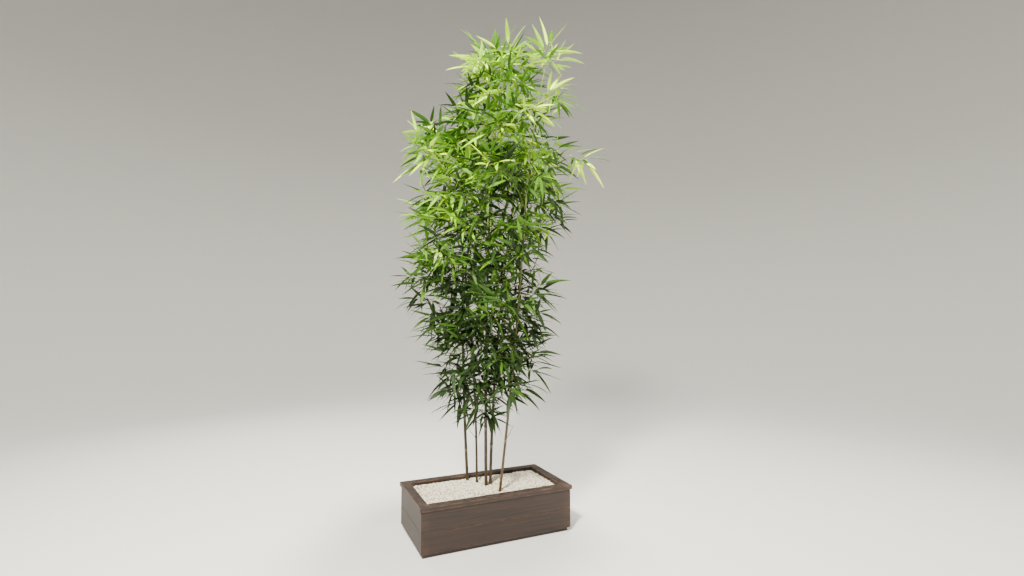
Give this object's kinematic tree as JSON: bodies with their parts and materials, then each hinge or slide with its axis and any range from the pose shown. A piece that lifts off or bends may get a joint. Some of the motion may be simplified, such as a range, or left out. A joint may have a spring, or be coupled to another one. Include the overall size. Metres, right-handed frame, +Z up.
{
  "type": "potted bamboo",
  "caption": "Clump of slender bamboo culms with arching leafy branches, growing from a rectangular timber trough topped with white gravel.",
  "frame": {"origin": "middle of the trough's flat underside", "axes": "+Z up, +X along the trough's length to the viewer's right, +Y to the trough's back"},
  "size_m": [1.2112, 1.3148, 2.9558],
  "materials": {
    "timber": "satin",
    "gravel": "matte",
    "culm": "satin",
    "foliage": "satin"
  },
  "bodies": {
    "root": {"trough": "timber", "gravel_bed": "gravel", "culm_back": "culm", "culm_left": "culm", "culm_middle": "culm", "culm_right": "culm", "culm_front": "culm", "foliage_back_3": "foliage", "foliage_back_4": "foliage", "foliage_back_5": "foliage", "foliage_back_6": "foliage", "foliage_back_7": "foliage", "foliage_back_8": "foliage", "foliage_back_9": "foliage", "foliage_back_10": "foliage", "foliage_back_11": "foliage", "foliage_back_tip": "foliage", "foliage_left_2": "foliage", "foliage_left_3": "foliage", "foliage_left_4": "foliage", "foliage_left_5": "foliage", "foliage_left_6": "foliage", "foliage_left_7": "foliage", "foliage_left_8": "foliage", "foliage_left_9": "foliage", "foliage_left_tip": "foliage", "foliage_middle_1": "foliage", "foliage_middle_2": "foliage", "foliage_middle_3": "foliage", "foliage_middle_4": "foliage", "foliage_middle_5": "foliage", "foliage_middle_6": "foliage", "foliage_middle_7": "foliage", "foliage_middle_8": "foliage", "foliage_middle_9": "foliage", "foliage_middle_10": "foliage", "foliage_middle_11": "foliage", "foliage_middle_tip": "foliage", "foliage_right_2": "foliage", "foliage_right_3": "foliage", "foliage_right_4": "foliage", "foliage_right_5": "foliage", "foliage_right_6": "foliage", "foliage_right_7": "foliage", "foliage_right_8": "foliage", "foliage_right_9": "foliage", "foliage_right_10": "foliage", "foliage_right_tip": "foliage", "foliage_front_2": "foliage", "foliage_front_3": "foliage", "foliage_front_4": "foliage", "foliage_front_5": "foliage", "foliage_front_6": "foliage", "foliage_front_7": "foliage", "foliage_front_8": "foliage", "foliage_front_9": "foliage", "foliage_front_10": "foliage", "foliage_front_11": "foliage", "foliage_front_tip": "foliage"}
  },
  "joints": []
}
